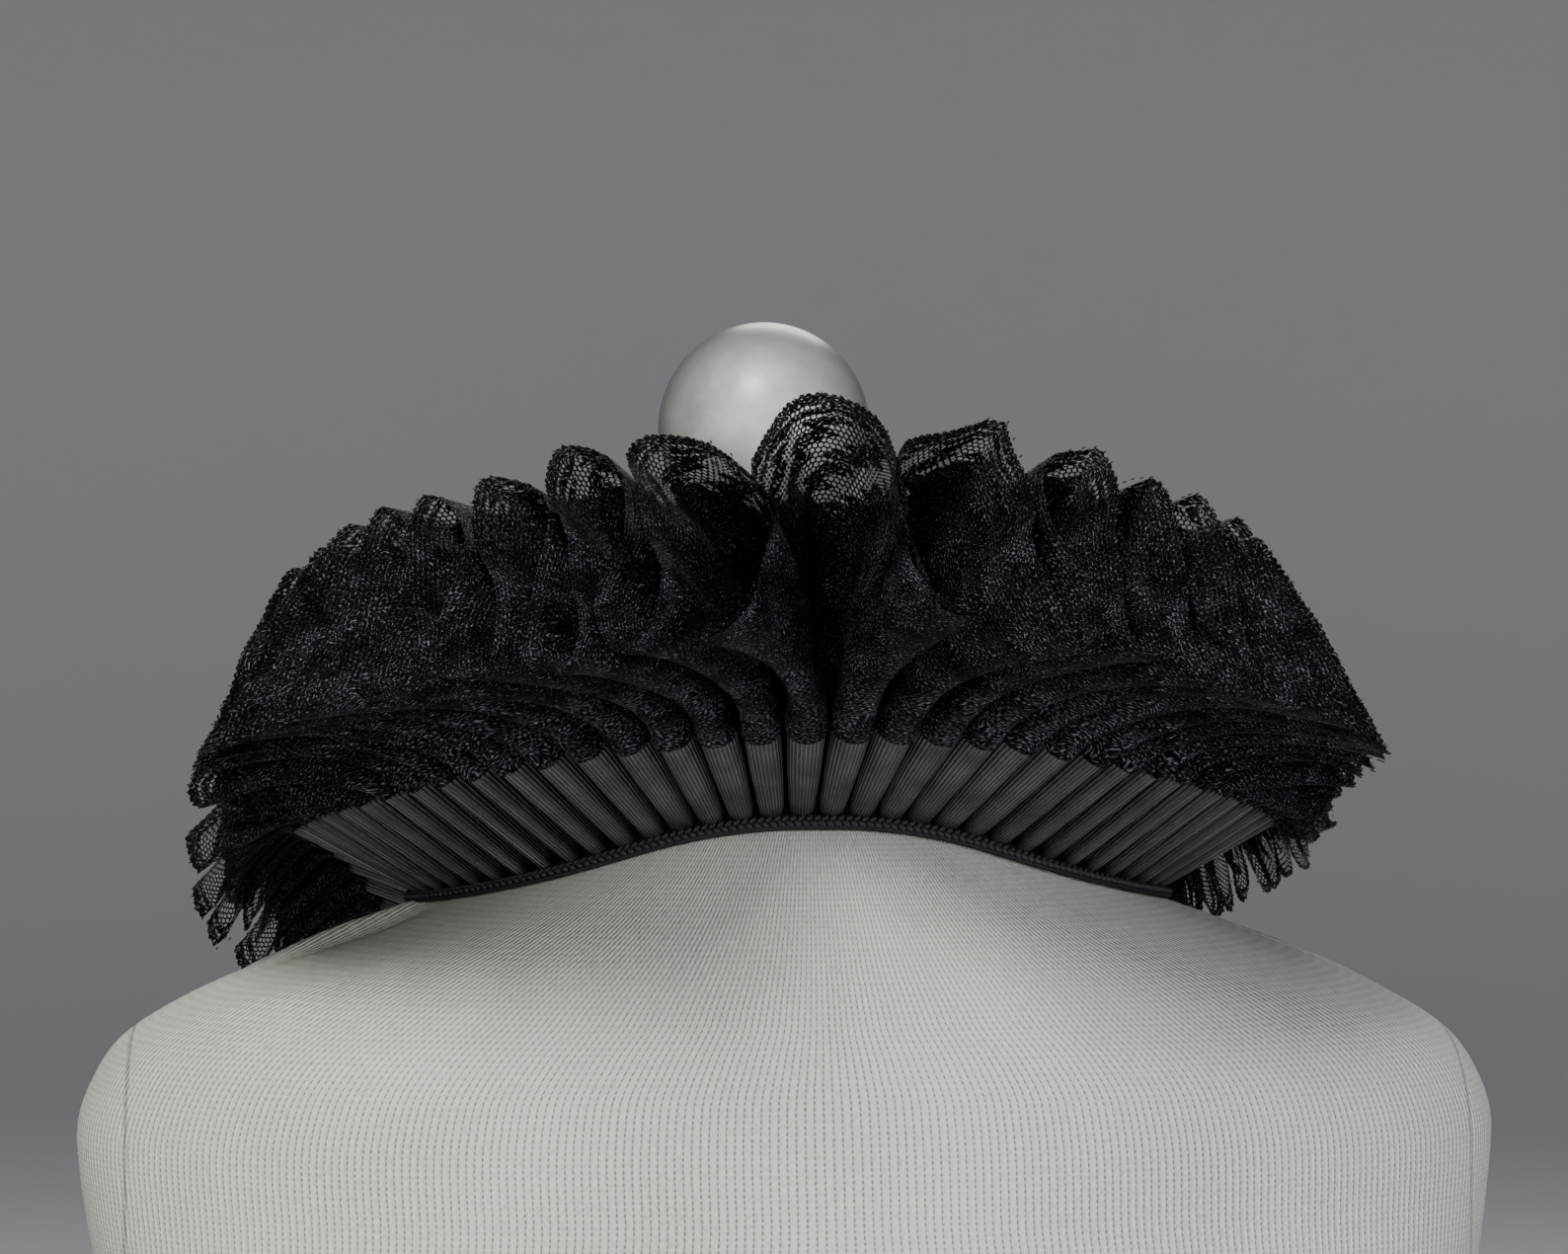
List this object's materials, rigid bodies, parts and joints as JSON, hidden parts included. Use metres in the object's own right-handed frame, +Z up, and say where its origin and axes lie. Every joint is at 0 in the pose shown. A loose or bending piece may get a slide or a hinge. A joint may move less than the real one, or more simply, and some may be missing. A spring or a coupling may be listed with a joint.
{
  "type": "pleated ruff collar on a limbless dress form",
  "caption": "Deep black ruff collar of pleated ribbon and lace, sewn in organ pleats to a neck braid and resting on a limbless dress form with a ball finial.",
  "frame": {"origin": "centre of the dress form's flat base, under the middle of the neck", "axes": "+Z up, -Y towards the back of the wearer's neck, +Y towards the breast, +X towards the wearer's right arm"},
  "size_m": [0.378, 0.3511, 0.552],
  "materials": {
    "jersey_cover": "off-white knitted jersey stretched over the form",
    "pearl_lacquer": "mottled pearl lacquer, softly glossy",
    "neck_braid": "narrow plaited black braid",
    "grosgrain_ribbon": "ribbed black grosgrain with a faint sheen",
    "floral_lace": "black floral lace on a six-sided net, glossy thread"
  },
  "bodies": {
    "root": {"form_torso": "jersey_cover", "neck_cap": "pearl_lacquer", "finial_stem": "pearl_lacquer", "ball_finial": "pearl_lacquer", "neck_tape": "neck_braid", "ribbon_frill": "grosgrain_ribbon", "lace_frill": "floral_lace"}
  },
  "joints": []
}
